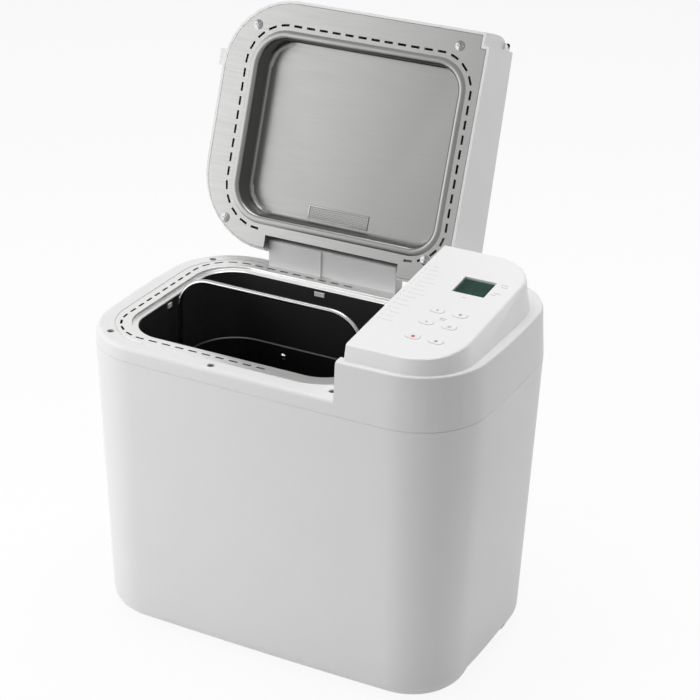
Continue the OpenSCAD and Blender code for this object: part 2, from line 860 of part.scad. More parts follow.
module chassis() {
    color(steel)
        difference() {
            union() {
                translate([0, 0, chassis_z])
                    linear_extrude(chassis_t)
                        rrect(chassis_x0, chassis_x1, -chassis_y, chassis_y, 12);
                for (s = [-1, 1])
                    translate([(chassis_x0 + chassis_x1) / 2, s * (chassis_y - chassis_t / 2), chassis_z + chassis_lip / 2])
                        cube([chassis_x1 - chassis_x0 - 60, chassis_t, chassis_lip], center = true);
            }
            at_pan()
                translate([0, 0, chassis_z - 1])
                    cylinder(h = chassis_t + 2, r = bearing_r + gap, $fn = 64);
            translate([motor_x, pan_cy, chassis_z - 1])
                cylinder(h = chassis_t + 2, r = 13, $fn = 64);
            for (p = boss_xy)
                translate([p[0], p[1], chassis_z - 1])
                    cylinder(h = chassis_t + 2, r = 2.2, $fn = 24);
        }
}

module bearing_housing() {
    top = floor_z - sheet;
    color([0.6, 0.6, 0.62])
        at_pan()
            difference() {
                union() {
                    translate([0, 0, chassis_z - 2])
                        cylinder(h = top - chassis_z + 2, r = bearing_r, $fn = 64);
                    translate([0, 0, chassis_z + chassis_t])
                        cylinder(h = 3, r = 28, $fn = 64);
                    translate([0, 0, top - 3])
                        cylinder(h = 3, r = 22, $fn = 64);
                    for (a = [45:90:315])
                        rotate([0, 0, a])
                            translate([bearing_r - 1, -1.5, chassis_z + chassis_t])
                                cube([7, 3, top - chassis_z - chassis_t]);
                }
                cylinder(h = 200, r = drive_d / 2 + play, $fn = 64);
            }
}

module motor() {
    color([0.45, 0.45, 0.47])
        translate([motor_x, pan_cy, chassis_z + chassis_t])
            difference() {
                union() {
                    cylinder(h = motor_h, d = motor_d - 6, $fn = 64);
                    translate([0, 0, 12])
                        cylinder(h = motor_h - 24, d = motor_d, $fn = 64);
                    translate([0, 0, -5])
                        cylinder(h = 6, r = 11, $fn = 64);
                    translate([0, 0, motor_h - 1])
                        cylinder(h = 8, r = 10, $fn = 64);
                }
                translate([0, 0, -20])
                    cylinder(h = 60, r = 3 + play, $fn = 48);
                for (a = [0:45:315])
                    rotate([0, 0, a])
                        translate([motor_d / 2 - 12, -3, 16])
                            cube([20, 6, motor_h - 32]);
            }
}

function belt_loop(r1, r2, d, n = 40) = let (b = acos((r1 - r2) / d)) concat(
    [for (i = [0:n]) let (a = b + (360 - 2 * b) * i / n) [r1 * cos(a), r1 * sin(a)]],
    [for (i = [0:n / 2]) let (a = -b + 2 * b * i / (n / 2)) [d + r2 * cos(a), r2 * sin(a)]]);

module drive_belt() {
    r1 = pulley_d / 2 + run_gap;
    r2 = pinion_d / 2 + run_gap;
    color([0.12, 0.12, 0.12])
        at_pan()
            translate([0, 0, pulley_z + 2 + run_gap])
                linear_extrude(belt_h - 2 * run_gap)
                    difference() {
                        polygon(belt_loop(r1 + belt_t, r2 + belt_t, shaft_gap));
                        polygon(belt_loop(r1, r2, shaft_gap));
                    }
}

module hinge_tower() {
    top = hinge_z + tower_r;
    color(white)
        difference() {
            translate([tower_x0, 0, 0])
                rotate([90, 0, 90])
                    linear_extrude(tower_x1 - tower_x0)
                        polygon(concat([[tower_y1, deck_z]], arc(tower_y1 - 7, top - 7, 7, 0),
                            arc(tower_y0 + 3, top - 3, 3, 90), [[tower_y0, deck_z]]));
            translate([tower_x0 - 1, hinge_y, hinge_z])
                rotate([0, 90, 0])
                    cylinder(h = tower_x1 - tower_x0 + 2, r = hinge_pin_d / 2 + play, $fn = 48);
            // groove between the two halves of the tower
            translate([groove_x0, tower_y0 - 1, deck_z - 1])
                cube([groove_x1 - groove_x0, 2.5, 40]);
        }
}
groove_x0 = -55.5;
groove_x1 = -43.7;

module hinge_pin() {
    color(steel)
        translate([notch_x0 - knuckle_w, hinge_y, hinge_z])
            rotate([0, 90, 0])
                cylinder(h = notch_x1 - notch_x0 + 2 * knuckle_w, r = hinge_pin_d / 2, $fn = 48);
}

module drive_shaft() {
    color(steel)
        at_pan()
            translate([0, 0, pulley_z - 2])
                cylinder(h = dog_z - pulley_z + 2, r = drive_d / 2, $fn = 64);
}

module drive_coupler() {
    color([0.6, 0.6, 0.62])
        at_pan()
            translate([0, 0, floor_z + 0.5])
                difference() {
                    union() {
                        cylinder(h = 3, r = coupler_r, $fn = 64);
                        for (a = [0, 180])
                            rotate([0, 0, a])
                                intersection() {
                                    translate([pan_shaft_d / 2 + 2.5, -5, 0])
                                        cube([14, 10, dog_h + 2.5]);
                                    cylinder(h = 20, r = coupler_r, $fn = 64);
                                }
                    }
                    translate([0, 0, -1])
                        cylinder(h = dog_z - floor_z + 0.5, r = drive_d / 2 + play, $fn = 64);
                }
}

module large_pulley() {
    r = pulley_d / 2;
    color([0.25, 0.25, 0.25])
        at_pan()
            translate([0, 0, pulley_z])
                difference() {
                    rotate_extrude($fn = 96)
                        polygon([[drive_d / 2 + play, 0], [14, 0], [14, 5], [r - 6, 5], [r - 6, 0], [r + 3, 0],
                            [r + 3, 1.2], [r, 2], [r, 2 + belt_h], [r + 3, pulley_h - 1.2], [r + 3, pulley_h],
                            [r - 6, pulley_h], [r - 6, 8], [14, 8], [14, pulley_h], [drive_d / 2 + play, pulley_h]]);
                    for (a = [0:60:300])
                        rotate([0, 0, a])
                            translate([28, 0, -1])
                                cylinder(h = 20, r = 9, $fn = 48);
                }
}

module motor_shaft() {
    color(steel)
        translate([motor_x, pan_cy, pulley_z - 2])
            cylinder(h = 50, r = 3, $fn = 48);
}

module motor_pulley() {
    r = pinion_d / 2;
    color([0.25, 0.25, 0.25])
        translate([motor_x, pan_cy, pulley_z])
            rotate_extrude($fn = 64)
                polygon([[3 + play, 0], [r + 3, 0], [r + 3, 1.2], [r, 2], [r, 2 + belt_h], [r + 3, pulley_h - 1.2],
                    [r + 3, pulley_h], [3 + play, pulley_h]]);
}

// plan of the lid, set in from its outer face on the front, left and rear
module lid_level(z, front, right = 0, rear = 0) {
    slab(rbox(lid_x0 + front, lid_x1 - right, -lid_y + front, lid_y - rear,
        [lid_r - front, 2, 2, lid_r - front], 10), z);
}

module on_lid_top() {
    translate([0, -lid_y + skirt_in + ledge_in, lid_z + lid_skirt + lid_crown])
        rotate([lid_slope, 0, 0])
            translate([0, lid_y - skirt_in - ledge_in, 0])
                children();
}

module lid_skirt_solid(off) {
    hull() {
        if (off > 0)
            lid_level(lid_z - 1, off, off, off);
        if (off == 0) {
            lid_level(lid_z, 0, 0, 3);
            lid_level(lid_z + 3, 0);
        }
        for (k = [0:4])
            lid_level(lid_z + lid_skirt / 2 + (lid_skirt / 2 - off) * sin(22.5 * k), off + skirt_in * (1 - cos(22.5 * k)), off, off);
    }
}

module lid_top_solid(off) {
    b = skirt_in + ledge_in + off;
    hull() {
        lid_level(lid_z + lid_skirt - (off > 0 ? 30 : 1), b, off, off);
        on_lid_top()
            for (k = [0:3])
                translate([0, 0, -off - 5 * (1 - sin(30 * k))])
                    lid_level(-0.01, b + 5 * (1 - cos(30 * k)), off + 5 * (1 - cos(30 * k)), off + 5 * (1 - cos(30 * k)));
    }
}

// space in the lid that the tower swings through
module hinge_notch(grow = 0) {
    translate([notch_x0 - grow, notch_y - grow, lid_z - 2])
        cube([notch_x1 - notch_x0 + 2 * grow, 40, hinge_z - lid_z + tower_r + 5.5]);
}

// windows in the rear wall round the lid's own knuckles
module knuckle_window() {
    r = knuckle_r + run_gap;
    translate([notch_x0 - knuckle_w - gap, hinge_y - 2, hinge_z - r])
        cube([notch_x1 - notch_x0 + 2 * (knuckle_w + gap), 20, r + tower_r + 3.5]);
}

module lip_notch(grow = 0) {
    translate([cheek_x - 2.5 - grow, -lid_y - 1, lid_z - 2])
        cube([30, lid_y + 1 + cheek_y + 1.5 + grow, lid_skirt + 2 + grow]);
}

module lid_shell() {
    color(white)
        lid_pose()
            difference() {
                union() {
                    difference() {
                        union() {
                            difference() {
                                lid_skirt_solid(0);
                                lip_notch();
                            }
                            lid_top_solid(0);
                        }
                        difference() {
                            lid_skirt_solid(lid_wall);
                            lip_notch(lid_wall);
                        }
                        lid_top_solid(lid_wall);
                    }
                    // screw posts for the inner panel
                    for (p = screw_xy)
                        translate([p[0], p[1], lid_z + sheet])
                            cylinder(h = lid_skirt - sheet - 8, r = post_r, $fn = 32);
                    intersection() {
                        for (p = screw_xy)
                            translate([p[0], p[1], lid_z + lid_skirt - 20])
                                cylinder(h = 80, r = post_r, $fn = 32);
                        lid_top_solid(1);
                    }
                    // finger tab on the left side
                    translate([lid_x0 - 5, -64, lid_z + 1])
                        cube([6, 16, 6]);
                }
                hinge_notch();
                knuckle_window();
                for (p = screw_xy)
                    translate([p[0], p[1], lid_z])
                        cylinder(h = 14, r = 1.9, $fn = 24);
                // steam outlet
                on_lid_top()
                    translate([vent_x - vent_w / 2, vent_y - vent_l / 2, -10])
                        cube([vent_w, vent_l, 20]);
            }
}

module lid_plate() {
    color(steel)
        lid_pose()
            translate([0, 0, lid_z])
                linear_extrude(sheet)
                    difference() {
                        polygon(rbox(lid_x0 + lid_wall + gap, lid_x1 - lid_wall - gap, -lid_y + lid_wall + gap,
                            lid_y - lid_wall - gap, [lid_r - lid_wall - gap, 2, 2, lid_r - lid_wall - gap], 16));
                        dish_plan(sheet + 0.3);
                        slot_ring(dish_x0 - lid_slot_off, dish_x1 + lid_slot_off, dish_y0 - lid_slot_off,
                            dish_y1 + lid_slot_off, dish_r + lid_slot_off, dish_q + lid_slot_off, 0.5, 1000,
                            [tower_x0, tower_x1]);
                        for (p = screw_xy)
                            translate([p[0], p[1]])
                                circle(r = 2.2, $fn = 24);
                        translate([notch_x0, notch_y])
                            square([notch_x1 - notch_x0, 40]);
                        translate([cheek_x - 2.5 - lid_wall - gap, -lid_y])
                            square([30, lid_y + cheek_y + 1.5 + lid_wall + gap]);
                    }
}

module dish_plan(off) {
    polygon(rbox(dish_x0 - off, dish_x1 + off, dish_y0 - off, dish_y1 + off,
        [dish_r + off, dish_q + off, dish_q + off, dish_r + off], 16));
}

// pressed dish: bead on the plate, rolled mouth, wall, rolled foot and floor
module lid_dish() {
    s = sheet;
    d = dish_depth;
    color(steel)
        lid_pose()
            translate([0, 0, lid_z])
                difference() {
                    union() {
                        sweep_rect(dish_x0, dish_x1, dish_y0, dish_y1, dish_r, dish_q)
                            polygon([[-0.6, -0.35], [0.5, -0.65], [1.8, -0.8], [3.4, -0.65], [4.8, -0.3], [lip_w, 0],
                                [s, 0], [0.1, 0.5], [-0.95, 1.4], [-1.45, 2.7], [s - roll, 4.6], [s - roll, d - 4.2],
                                [-2.2, d - 1.6], [-3.5, d + 0.2], [-6.3, d + s], [-7.5, d + s], [-7.5, d], [-6.5, d],
                                [-4.2, d - 0.8], [-3.1, d - 2.2], [-roll, d - 4.4], [-roll, 4.5], [-2.4, 2.4],
                                [-1.8, 0.8]]);
                        translate([0, 0, d])
                            linear_extrude(s)
                                dish_plan(-7);
                    }
                    translate([vent_x - vent_w / 2 + 3, vent_y - vent_l / 2 + 2, d - 1])
                        cube([vent_w - 6, vent_l - 4, 4]);
                }
}

module lid_vent() {
    color(steel)
        lid_pose()
            translate([vent_x - vent_w / 2, vent_y - vent_l / 2, lid_z + dish_depth - 0.8])
                difference() {
                    cube([vent_w, vent_l, 0.8]);
                    for (i = [0:17], j = [0:2])
                        translate([5.3 + i * 3.2, 3.8 + j * 3.2, -1])
                            cylinder(h = 3, r = 0.9, $fn = 16);
                }
}

module lid_screws() {
    color([0.8, 0.8, 0.82])
        lid_pose()
            for (p = screw_xy)
                translate([p[0], p[1], lid_z])
                    rotate([180, 0, 0])
                        screw(4.6, screw_proud, 1.8, 10);
}

module lid_knuckles() {
    top = lid_z + lid_skirt - lid_wall - 6;
    color(white)
        lid_pose()
            for (x = [notch_x0 - knuckle_w, notch_x1])
                difference() {
                    union() {
                        translate([x, hinge_y, hinge_z])
                            rotate([0, 90, 0])
                                cylinder(h = knuckle_w, r = knuckle_r, $fn = 48);
                        translate([x, hinge_y - 16, hinge_z])
                            cube([knuckle_w, lid_y - lid_wall - gap / 2 - hinge_y + 16, top - hinge_z]);
                    }
                    translate([x - 1, hinge_y, hinge_z])
                        rotate([0, 90, 0])
                            cylinder(h = knuckle_w + 2, r = hinge_pin_d / 2 + play, $fn = 48);
                }
}

// louvred outlet over the dish
duct_h = lid_skirt + lid_crown - dish_depth - sheet - 1.2
    + (vent_y - vent_l / 2 + 1 + lid_y - skirt_in - ledge_in) * tan(lid_slope);
module steam_vent() {
    color(white)
        lid_pose()
            difference() {
                union() {
                    on_lid_top()
                        translate([vent_x - vent_w / 2 + gap / 2, vent_y - vent_l / 2 + gap / 2, -lid_wall])
                            cube([vent_w - gap, vent_l - gap, lid_wall]);
                    translate([vent_x - vent_w / 2 + 1, vent_y - vent_l / 2 + 1, lid_z + dish_depth + sheet])
                        cube([vent_w - 2, vent_l - 2, duct_h]);
                }
                translate([vent_x - vent_w / 2 + 3, vent_y - vent_l / 2 + 3, lid_z + dish_depth])
                    cube([vent_w - 6, vent_l - 6, duct_h - 2]);
                for (k = [0:9])
                    on_lid_top()
                        translate([vent_x - 28.5 + 6 * k, vent_y - vent_l / 2 + 3, -30])
                            cube([3, vent_l - 6, 40]);
            }
}

module pan_level(z, inset) {
    t = (rim_z - z) / pan_h;
    w = pan_w / 2 - pan_draft * t - inset;
    d = pan_d / 2 - pan_draft * t - inset;
    slab(rbox(-w, w, -d, d, [1, 1, 1, 1] * (pan_r - pan_draft * t - inset), 10), z);
}

module bread_pan() {
    color(dark)
        at_pan()
            difference() {
                union() {
                    hull() {
                        for (k = [0:4])
                            pan_level(pan_z + 10 * (1 - cos(22.5 * k)), 10 * (1 - sin(22.5 * k)));
                        pan_level(rim_z - 1, 0);
                    }
                    translate([0, 0, rim_z - rim_wire])
                        sweep_rect(-pan_w / 2, pan_w / 2, -pan_d / 2, pan_d / 2, pan_r, pan_r)
                            circle(r = rim_wire, $fn = 24);
                    for (s = [-1, 1])
                        translate([s * (boss_x + pan_w / 2 - 6) / 2, 0, pivot_z])
                            rotate([0, 90, 0])
                                cylinder(h = boss_x - pan_w / 2 + 6, r = 6, center = true, $fn = 48);
                }
                hull() {
                    for (k = [0:4])
                        pan_level(pan_z + pan_wall + (10 - pan_wall) * (1 - cos(22.5 * k)), pan_wall + (10 - pan_wall) * (1 - sin(22.5 * k)));
                    pan_level(rim_z + 3, pan_wall);
                }
                for (s = [-1, 1])
                    translate([s * (boss_x - 1.5), 0, pivot_z])
                        rotate([0, 90, 0])
                            cylinder(h = 6, r = bail_d / 2 + play, center = true, $fn = 48);
                cylinder(h = rim_z, r = bush_r - 2 + gap, $fn = 64);
            }
}

module pan_base() {
    z0 = floor_z + 1.5 + run_gap;
    color(steel)
        at_pan()
            difference() {
                union() {
                    translate([0, 0, z0])
                        cylinder(h = pan_z - z0, r = foot_r, $fn = 96);
                    for (a = [0, 180])
                        rotate([0, 0, a])
                            translate([foot_r - 2, -6, z0])
                                cube([5, 12, 4]);
                }
                translate([0, 0, z0 - 1])
                    cylinder(h = pan_z - z0 - 2, r = foot_r - 3, $fn = 96);
                cylinder(h = rim_z, r = bush_r, $fn = 64);
            }
}

module pan_bearing() {
    color([0.75, 0.7, 0.55])
        at_pan()
            difference() {
                union() {
                    translate([0, 0, pan_z - 5])
                        cylinder(h = 5, r = bush_r, $fn = 64);
                    translate([0, 0, pan_z - 5])
                        cylinder(h = 5 + pan_wall + 1, r = bush_r - 2, $fn = 64);
                    translate([0, 0, pan_z + pan_wall])
                        cylinder(h = 2, r = bush_r + 2, $fn = 64);
                }
                cylinder(h = rim_z, r = pan_shaft_d / 2 + play, $fn = 64);
            }
}

module pan_rivet() {
    t = (rim_z - rivet_z) / pan_h;
    color([0.8, 0.8, 0.8])
        at_pan()
            translate([-17.6, pan_d / 2 - pan_draft * t - pan_wall - 0.4, rivet_z])
                rotate([90, 0, 0])
                    intersection() {
                        translate([0, 0, -2.6])
                            sphere(r = 4.2, $fn = 48);
                        cylinder(h = 10, r = 6);
                    }
}
rivet_z = rim_z - 11;

module pan_handle() {
    r = bail_d / 2;
    color([0.82, 0.82, 0.83])
        at_pan()
            union() {
                for (s = [-1, 1]) {
                    translate([s * bail_half, 0, pivot_z])
                        cylinder(h = bail_h - bail_r, r = r, $fn = 32);
                    translate([s * bail_half, 0, pivot_z])
                        sphere(r = r, $fn = 32);
                    translate([s * (bail_half - 3), 0, pivot_z])
                        rotate([0, 90, 0])
                            cylinder(h = 6, r = r, center = true, $fn = 48);
                    translate([s * (bail_half - bail_r), 0, pivot_z + bail_h - bail_r])
                        rotate([90, 0, s > 0 ? 0 : 180])
                            rotate_extrude(angle = 90)
                                translate([bail_r, 0])
                                    circle(r = r, $fn = 32);
                }
                translate([0, 0, pivot_z + bail_h])
                    rotate([0, 90, 0])
                        cylinder(h = 2 * (bail_half - bail_r), r = r, center = true, $fn = 32);
            }
}

module pan_shaft() {
    color(steel)
        at_pan()
            translate([0, 0, dog_z + 2 * run_gap])
                cylinder(h = pan_shaft_top - dog_z - 2 * run_gap, r = pan_shaft_d / 2, $fn = 64);
}

module pan_dog() {
    z0 = dog_z + run_gap + 0.8;
    color([0.6, 0.6, 0.62])
        at_pan()
            translate([0, 0, z0])
                difference() {
                    union() {
                        cylinder(h = pan_z - 5 - 0.5 - z0, r = pan_shaft_d / 2 + 1.2, $fn = 48);
                        translate([-4, -16, 0])
                            cube([8, 32, 5]);
                    }
                    translate([0, 0, -1])
                        cylinder(h = 40, r = pan_shaft_d / 2 + play, $fn = 64);
                }
}

module kneading_paddle() {
    z0 = pan_z + pan_wall + 2 + run_gap;
    color([0.2, 0.2, 0.2])
        at_pan()
            translate([0, 0, z0])
                difference() {
                    union() {
                        cylinder(h = 22, r1 = 9.5, r2 = 7.5, $fn = 48);
                        intersection() {
                            linear_extrude(paddle_h)
                                polygon(concat([for (i = [0:10]) [5 * i, -2.2 + 0.06 * i * i]],
                                    [for (i = [10:-1:0]) [5 * i, 2.2 + 0.04 * i * i]]));
                            rotate([90, 0, 0])
                                translate([0, 0, -20])
                                    linear_extrude(40)
                                        polygon([[0, 0], [46, 0], [48, 3], [30, paddle_h - 4], [25, paddle_h], [14, paddle_h], [7, 24], [0, 22]]);
                        }
                    }
                    translate([0, 0, -1])
                        cylinder(h = pan_shaft_top - z0 + 1 + gap, r = pan_shaft_d / 2 + play, $fn = 64);
                }
}

lower_housing();
upper_housing();
base_plate();
foot(-1, -1);  // foot_front_left
foot(1, -1);  // foot_front_right
foot(-1, 1);  // foot_rear_left
foot(1, 1);  // foot_rear_right
cord_gland();
control_panel();
lcd_window();
lcd_module();
control_board();
key(0, white);  // key_1
key(1, white);  // key_2
key(2, white);  // key_3
key(3, white);  // key_4
key(4, [0.95, 0.85, 0.85]);  // key_start
key(5, white);  // key_stop
deck_flange();
deck_screws();
chamber_can();
chamber_tabs();
heater_element();
heater_brackets();
temperature_sensor();
pan_socket();
heat_shield();
power_board();
chassis();
bearing_housing();
motor();
drive_belt();
hinge_tower();
hinge_pin();
drive_shaft();
drive_coupler();
large_pulley();
motor_shaft();
motor_pulley();
lid_shell();
lid_plate();
lid_dish();
lid_vent();
lid_screws();
lid_knuckles();
steam_vent();
bread_pan();
pan_base();
pan_bearing();
pan_rivet();
pan_handle();
pan_shaft();
pan_dog();
kneading_paddle();
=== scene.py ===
import math
import bmesh
import bpy
from mathutils import Matrix, Vector


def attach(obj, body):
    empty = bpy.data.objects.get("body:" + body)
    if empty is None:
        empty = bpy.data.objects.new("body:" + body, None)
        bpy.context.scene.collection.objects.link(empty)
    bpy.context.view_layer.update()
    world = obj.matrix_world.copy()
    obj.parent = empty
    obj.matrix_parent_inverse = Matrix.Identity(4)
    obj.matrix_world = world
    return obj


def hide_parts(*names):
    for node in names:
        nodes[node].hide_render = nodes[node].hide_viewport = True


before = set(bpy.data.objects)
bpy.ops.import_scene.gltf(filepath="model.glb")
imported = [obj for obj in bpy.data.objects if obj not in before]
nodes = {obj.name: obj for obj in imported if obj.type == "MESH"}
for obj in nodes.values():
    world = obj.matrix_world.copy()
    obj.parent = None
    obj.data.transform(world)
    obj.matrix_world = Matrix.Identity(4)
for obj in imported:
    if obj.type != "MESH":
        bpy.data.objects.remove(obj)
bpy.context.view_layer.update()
scene = bpy.context.scene
print("frame loaded:", len(nodes), "nodes")


def hexColour(text):  # sRGB hex to linear RGBA
    parts = [int(text[i:i + 2], 16) / 255 for i in (0, 2, 4)]
    return tuple(c / 12.92 if c <= 0.04045 else ((c + 0.055) / 1.055) ** 2.4 for c in parts) + (1.0,)


def perMetre(millimetres):  # pattern scale for a feature of this size
    return 1000 / millimetres


def add(tree, kind, links=None, **settings):
    node = tree.nodes.new(kind)
    for name, value in settings.items():
        setattr(node, name, value)
    for socket, value in (links or {}).items():
        if isinstance(value, bpy.types.NodeSocket):
            tree.links.new(value, node.inputs[socket])
        else:
            node.inputs[socket].default_value = value
    return node


def startMaterial(name):
    material = bpy.data.materials.new(name)
    material.use_nodes = True
    tree = material.node_tree
    tree.nodes.clear()
    place = add(tree, "ShaderNodeTexCoord").outputs["Object"]
    return material, tree, place


def endMaterial(tree, shader):
    add(tree, "ShaderNodeOutputMaterial", {"Surface": shader.outputs[0]})


noiseReach = {"low": 0.3, "high": 0.7}  # nearly all of a noise's values lie between these
# how far a full bump stands up, in metres
bumpDeep = {"sheet": 0.0002, "coating": 0.0001, "wires": 0.0002}


# Injection-moulded plastic: spark-eroded grain breaks up the gloss, slow flow marks vary it.
# The real grain is a few tenths of a millimetre; grainMm is as coarse as it needs to show.
def mouldedPlastic(name, v):
    material, tree, place = startMaterial(name)
    flow = add(tree, "ShaderNodeTexNoise", {"Vector": place, "Scale": perMetre(v["flowMm"]), "Detail": 2.0})
    grain = add(tree, "ShaderNodeTexNoise", {"Vector": place, "Scale": perMetre(v["grainMm"]), "Detail": 3.0})
    colour = add(tree, "ShaderNodeMix", {0: flow.outputs[0], 6: hexColour(v["colour"]), 7: hexColour(v["shade"])},
                 data_type="RGBA")
    gloss = add(tree, "ShaderNodeMapRange", {"Value": flow.outputs[0], 1: noiseReach["low"], 2: noiseReach["high"],
                                             3: v["rough"] - v["spread"], 4: v["rough"] + v["spread"]})
    bump = add(tree, "ShaderNodeBump", {"Height": grain.outputs[0], "Strength": v["bump"],
                                        "Distance": v["grainMm"] / 4000})  # a quarter of the grain deep
    shader = add(tree, "ShaderNodeBsdfPrincipled", {"Base Color": colour.outputs[2], "Roughness": gloss.outputs[0],
                                                    "IOR": v["ior"], "Normal": bump.outputs[0]})
    endMaterial(tree, shader)
    return material


# Rolled and pressed sheet: faint rolling lines and slow waves left by the press.
# Real rolling lines are hair-fine; lineMm is as coarse as it needs to show.
def pressedSheet(name, v):
    material, tree, place = startMaterial(name)
    along = add(tree, "ShaderNodeMapping", {"Vector": place, "Scale": v["stretch"]})
    lines = add(tree, "ShaderNodeTexNoise", {"Vector": along.outputs[0], "Scale": perMetre(v["lineMm"]), "Detail": 4.0})
    waves = add(tree, "ShaderNodeTexNoise", {"Vector": place, "Scale": perMetre(v["waveMm"]), "Detail": 1.0})
    colour = add(tree, "ShaderNodeMix", {0: lines.outputs[0], 6: hexColour(v["colour"]), 7: hexColour(v["shade"])},
                 data_type="RGBA")
    gloss = add(tree, "ShaderNodeMapRange", {"Value": lines.outputs[0], 1: noiseReach["low"], 2: noiseReach["high"],
                                             3: v["rough"] - v["spread"], 4: v["rough"] + v["spread"]})
    both = add(tree, "ShaderNodeMath", {0: waves.outputs[0], 1: v["waveShare"], 2: lines.outputs[0]},
               operation="MULTIPLY_ADD")
    bump = add(tree, "ShaderNodeBump", {"Height": both.outputs[0], "Strength": v["bump"],
                                        "Distance": bumpDeep["sheet"]})
    shader = add(tree, "ShaderNodeBsdfPrincipled", {"Base Color": colour.outputs[2], "Roughness": gloss.outputs[0],
                                                    "Metallic": 1.0, "Normal": bump.outputs[0]})
    endMaterial(tree, shader)
    return material


# Sprayed and baked coating: orange peel, with small flecks in it.
# Real flecks are a few tenths of a millimetre; fleckMm, their spacing, is as coarse as it needs to show.
def bakedCoating(name, v):
    material, tree, place = startMaterial(name)
    peel = add(tree, "ShaderNodeTexNoise", {"Vector": place, "Scale": perMetre(v["peelMm"]), "Detail": 2.0})
    cells = add(tree, "ShaderNodeTexVoronoi", {"Vector": place, "Scale": perMetre(v["fleckMm"])}, feature="F1")
    core, edge = v["fleckRadii"]
    fleck = add(tree, "ShaderNodeMapRange", {"Value": cells.outputs["Distance"], 1: core, 2: edge,
                                             3: v["fleckShare"], 4: 0.0})
    colour = add(tree, "ShaderNodeMix", {0: fleck.outputs[0], 6: hexColour(v["colour"]), 7: hexColour(v["fleck"])},
                 data_type="RGBA")
    gloss = add(tree, "ShaderNodeMapRange", {"Value": peel.outputs[0], 1: noiseReach["low"], 2: noiseReach["high"],
                                             3: v["rough"] - v["spread"], 4: v["rough"] + v["spread"]})
    bump = add(tree, "ShaderNodeBump", {"Height": peel.outputs[0], "Strength": v["bump"],
                                        "Distance": bumpDeep["coating"]})
    shader = add(tree, "ShaderNodeBsdfPrincipled", {"Base Color": colour.outputs[2], "Roughness": gloss.outputs[0],
                                                    "IOR": 1.5, "Normal": bump.outputs[0]})
    endMaterial(tree, shader)
    return material


plasticFinishes = {
    # satin white ABS of the outer mouldings: soft, wide highlights
    "whiteAbsHousing": {"colour": "e6e6e6", "shade": "e3e3e3", "rough": 0.46, "spread": 0.04, "ior": 1.53,
        "grainMm": 0.9, "flowMm": 60, "bump": 0.12},
    # whiter, finer-grained ABS of the panel and keys: looks cleaner and a little shinier
    "whiteAbsPanel": {"colour": "f1f1f1", "shade": "eeeeee", "rough": 0.42, "spread": 0.04, "ior": 1.53,
        "grainMm": 0.8, "flowMm": 40, "bump": 0.08},
    # grey polypropylene of the bottom cover: dull and slightly waxy
    "greyPolypropylene": {"colour": "8d8d8e", "shade": "868687", "rough": 0.55, "spread": 0.05, "ior": 1.49,
        "grainMm": 1.1, "flowMm": 50, "bump": 0.2},
    # black nylon of the gland and pulleys: dark, with a dry sheen
    "blackNylon": {"colour": "1d1d1e", "shade": "19191a", "rough": 0.5, "spread": 0.06, "ior": 1.53, "grainMm": 0.7,
        "flowMm": 20, "bump": 0.2},
    # moulded nitrile rubber of the feet and belt: matt and nearly black
    "nitrileRubber": {"colour": "2b2b2b", "shade": "252525", "rough": 0.8, "spread": 0.06, "ior": 1.52,
        "grainMm": 0.6, "flowMm": 12, "bump": 0.4},
    # reflective display: even green, darkened by the lens over it
    "lcdGreen": {"colour": "46937f", "shade": "418c79", "rough": 0.3, "spread": 0.05, "ior": 1.5, "grainMm": 0.4,
        "flowMm": 30, "bump": 0.02},
    # painted highlight: matt near-white in place of the bright reflection on the chamber's metal tabs, so they read
    # bright even in the dark chamber
    "tabPaintedHighlight": {"colour": "f0f0f0", "shade": "e8e8e8", "rough": 0.5, "spread": 0.05, "ior": 1.5, "grainMm": 0.4,
        "flowMm": 6, "bump": 0.1},
    # green solder mask of the boards: glossy, uneven over the tracks
    "solderMask": {"colour": "1f5a2c", "shade": "174a23", "rough": 0.35, "spread": 0.08, "ior": 1.5, "grainMm": 2.4,
        "flowMm": 6, "bump": 0.3},
}
plain = (1, 1, 1)
rolled = (0.03, 1, 1)  # rolling lines run along X
